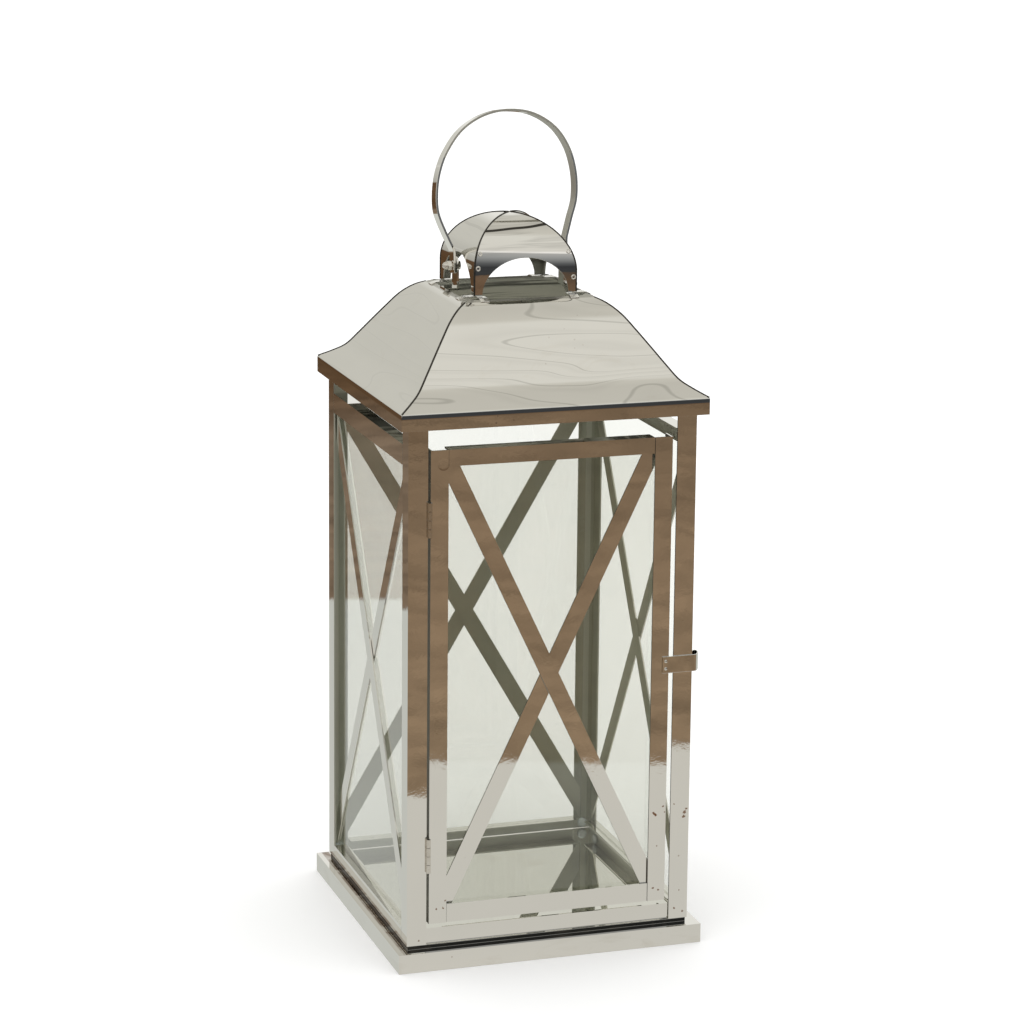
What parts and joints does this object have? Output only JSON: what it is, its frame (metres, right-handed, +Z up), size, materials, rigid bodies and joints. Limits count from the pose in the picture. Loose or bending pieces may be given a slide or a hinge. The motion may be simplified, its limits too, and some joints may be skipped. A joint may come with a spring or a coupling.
{
  "type": "candle lantern",
  "caption": "Square glazed steel candle lantern with a hinged, spring-latched door, an ogee roof, a pierced crown over the vent and a ring handle.",
  "frame": {"origin": "middle of the base at the surface the lantern stands on", "axes": "+Z up, +X to the right seen from in front of the door, +Y to the back, so the door faces -Y"},
  "size_m": [0.23, 0.23, 0.6021],
  "materials": {
    "steel": "mirror-polished stainless steel",
    "fittings": "bright plated steel hinges, latch, bolts and rivets",
    "glass": "clear float glass",
    "pads": "clear soft plastic"
  },
  "bodies": {
    "body": {"back_bottom_rail": "steel", "back_glass": "glass", "back_strap_falling": "steel", "back_strap_rising": "steel", "back_top_rail": "steel", "base_tray": "steel", "bumper_back_left": "pads", "bumper_back_right": "pads", "bumper_left": "pads", "bumper_right": "pads", "crown_gore_back": "steel", "crown_gore_front": "steel", "crown_gore_left": "steel", "crown_gore_right": "steel", "front_sill": "steel", "handle_bolt_left": "fittings", "handle_bolt_right": "fittings", "handle_lug_left": "steel", "handle_lug_right": "steel", "handle_nut_left": "fittings", "handle_nut_right": "fittings", "hinge_lower_pin": "fittings", "hinge_lower_post_leaf": "fittings", "hinge_upper_pin": "fittings", "hinge_upper_post_leaf": "fittings", "left_bottom_rail": "steel", "left_glass": "glass", "left_strap_falling": "steel", "left_strap_rising": "steel", "left_top_rail": "steel", "post_back_left": "steel", "post_back_right": "steel", "post_front_left": "steel", "post_front_right": "steel", "right_bottom_rail": "steel", "right_glass": "glass", "right_strap_falling": "steel", "right_strap_rising": "steel", "right_top_rail": "steel", "roof_panel_back": "steel", "roof_panel_front": "steel", "roof_panel_left": "steel", "roof_panel_right": "steel"},
    "door": {"door_bottom_rail": "steel", "door_glass": "glass", "door_left_stile": "steel", "door_right_stile": "steel", "door_strap_falling": "steel", "door_strap_rising": "steel", "door_top_rail": "steel", "hinge_lower_door_leaf": "fittings", "hinge_upper_door_leaf": "fittings", "latch_rivet_lower": "fittings", "latch_rivet_upper": "fittings"},
    "latch": {"latch_strap": "fittings"},
    "handle": {"handle_ring": "steel"}
  },
  "joints": [
    {"name": "door_hinge", "type": "hinge", "parent": "body", "child": "door", "pos_m": [-0.0917, -0.1089, 0.2], "axis": [0, 0, -1], "range_deg": [0, 170]},
    {"name": "latch_flex", "type": "hinge", "parent": "door", "child": "latch", "pos_m": [0.0864, -0.1077, 0.211], "axis": [0, 0, -1], "range_deg": [0, 5], "stiffness_Nm_per_rad": 0.2},
    {"name": "handle_swing", "type": "hinge", "parent": "body", "child": "handle", "pos_m": [0, 0, 0.491], "axis": [-1, 0, 0], "range_deg": [-110, 93]}
  ]
}
